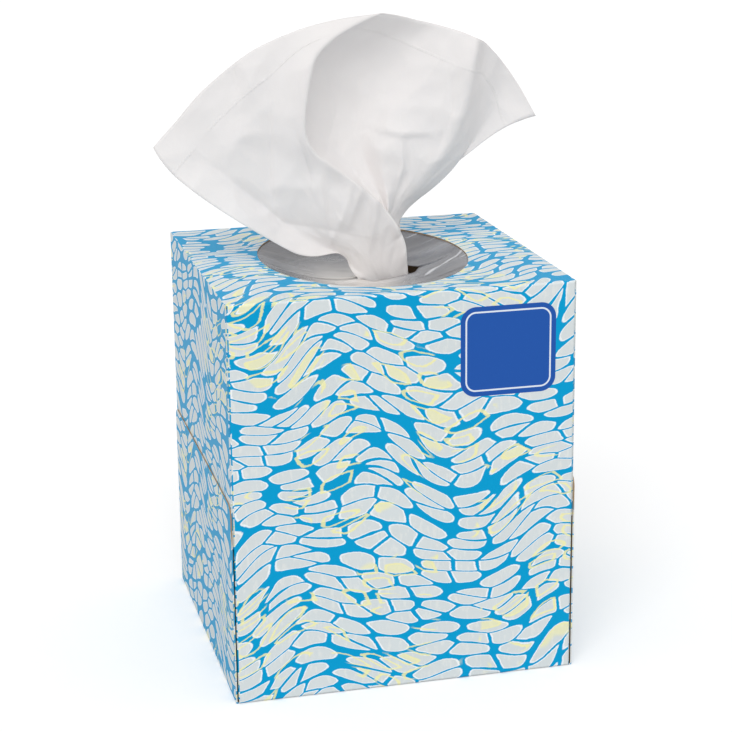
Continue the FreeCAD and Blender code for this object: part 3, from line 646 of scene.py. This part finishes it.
SHEET_WIDE, SHEET_LONG = 213 * MM, 208 * MM
SHEET_THICK = 0.25 * MM
CREASED_FROM = 8
poles = sheet_poles()
across = spline_weights(poles.shape[0], SHEET_COLUMNS)
upward = spline_weights(poles.shape[1], SHEET_ROWS)
surface = np.einsum("ip,pqc,jq->jic", across, poles, upward)
seen = surface[:, :, [0, 2]] - surface[:, :, 1:2] * np.array([SIGHT.x, SIGHT.z])
heights = np.array([[crumples(Vector(point)) for point in row] for row in surface])
from_middle = np.linalg.norm(seen - np.array([FAN_MIDDLE.x, FAN_MIDDLE.z]), axis=2)
opened = np.clip(from_middle / CREASED_FROM - 1, 0, 1)
for spots, height, left_reach, right_reach in CREASES:
    heights += opened * crease(seen, spots, height, left_reach, right_reach)
surface = surface - heights[..., None] * np.array(SIGHT)
surface = np.concatenate([tail_rows(surface[0]), surface])

steps = np.linalg.norm(np.diff(surface, axis=0), axis=2)
from_edge = np.concatenate([np.cumsum(steps[::-1], axis=0)[::-1], np.zeros((1, SHEET_COLUMNS))]) * MM
flat_places = [(SHEET_WIDE * column / (SHEET_COLUMNS - 1), from_edge[row, column])
               for row in range(len(surface)) for column in range(SHEET_COLUMNS)]
sheet = mesh_object("drawn_sheet", (surface * MM).reshape(-1, 3), grid_faces(len(surface), SHEET_COLUMNS),
                    finish("soft tissue", soft_tissue, SOFT_SHADER))
lay_flat(sheet, flat_places)
settle(sheet, ("SOLIDIFY", {"thickness": SHEET_THICK, "offset": 0}))
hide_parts("popup_tissue")
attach(sheet, "root")


# Studio: a pale floor that looks white to the camera, an even white dome, and one broad lamp in
# front and above, a little to the left.
def seen_plainly(field):
    """1 where the camera sees a thing, also in gloss and through film, and 0 where it lights others."""
    names = ("Is Camera Ray", "Is Glossy Ray", "Is Transmission Ray")
    straight, mirrored, through = [field.node("ShaderNodeLightPath", {}, {}, name) for name in names]
    return straight.larger(mirrored).larger(through)


def pale_floor(field):
    seen = seen_plainly(field)
    return {
        "Base Color": field.tint(FLOOR_SEEN, FLOOR_LIGHTING, seen),
        "Emission Color": field.tint(FLOOR_GLOW, colour(0, 0, 0), seen),
    }


FLOOR_HALF = 6.0
FLOOR_SEEN, FLOOR_LIGHTING = colour(254, 254, 254), colour(196, 197, 199)
FLOOR_GLOW = colour(84, 84, 84)
FLOOR_SHADER = {"Roughness": 1.0, "Specular IOR Level": 0.0, "Emission Strength": 1.0}
floor = mesh_object("floor", [(-FLOOR_HALF, -FLOOR_HALF, 0), (FLOOR_HALF, -FLOOR_HALF, 0),
                              (FLOOR_HALF, FLOOR_HALF, 0), (-FLOOR_HALF, FLOOR_HALF, 0)],
                    [(0, 1, 2, 3)], finish("pale floor", pale_floor, FLOOR_SHADER))

DOME = 0.72
LAMP_POWER, LAMP_SPREAD = 1.45, math.radians(50)
LAMP_FROM = Vector((-0.3, -0.75, 0.6))
world = bpy.data.worlds.new("studio")
world.use_nodes = True
bpy.context.scene.world = world
dome = Field(world.node_tree)
background = world.node_tree.nodes["Background"]
background.inputs["Color"].default_value = (1, 1, 1, 1)
strength = DOME + (1 - DOME) * seen_plainly(dome)
world.node_tree.links.new(strength.socket, background.inputs["Strength"])

lamp_data = bpy.data.lights.new("broad lamp", "SUN")
lamp_data.energy = LAMP_POWER
lamp_data.angle = LAMP_SPREAD
lamp = bpy.data.objects.new("broad lamp", lamp_data)
bpy.context.scene.collection.objects.link(lamp)
lamp.rotation_euler = LAMP_FROM.to_track_quat("Z", "Y").to_euler()


# Camera: it stands where the photograph was taken, a little left of the front and above.
AZIMUTH, ELEVATION, ROLL = math.radians(-13.8), math.radians(16.02), math.radians(-0.69)
CAMERA_SPOT = Vector((-152.05, -623.08, 275.83)) * MM
SENSOR_WIDE, LENS = 36, 97.77
level_out = math.cos(ELEVATION)
back = Vector((math.sin(AZIMUTH) * level_out, -math.cos(AZIMUTH) * level_out, math.sin(ELEVATION)))
level_right = Vector((0, 0, 1)).cross(back).normalized()
level_up = back.cross(level_right)
right = level_right * math.cos(ROLL) + level_up * math.sin(ROLL)
upright = back.cross(right)
camera_data = bpy.data.cameras.new("camera")
camera_data.sensor_width = SENSOR_WIDE
camera_data.lens = LENS
camera_data.clip_start = 10 * MM
camera = bpy.data.objects.new("camera", camera_data)
bpy.context.scene.collection.objects.link(camera)
turn = Matrix((right, upright, back)).transposed()
camera.matrix_world = Matrix.Translation(CAMERA_SPOT) @ turn.to_4x4()
bpy.context.scene.camera = camera
bpy.context.scene.view_settings.view_transform = "Standard"
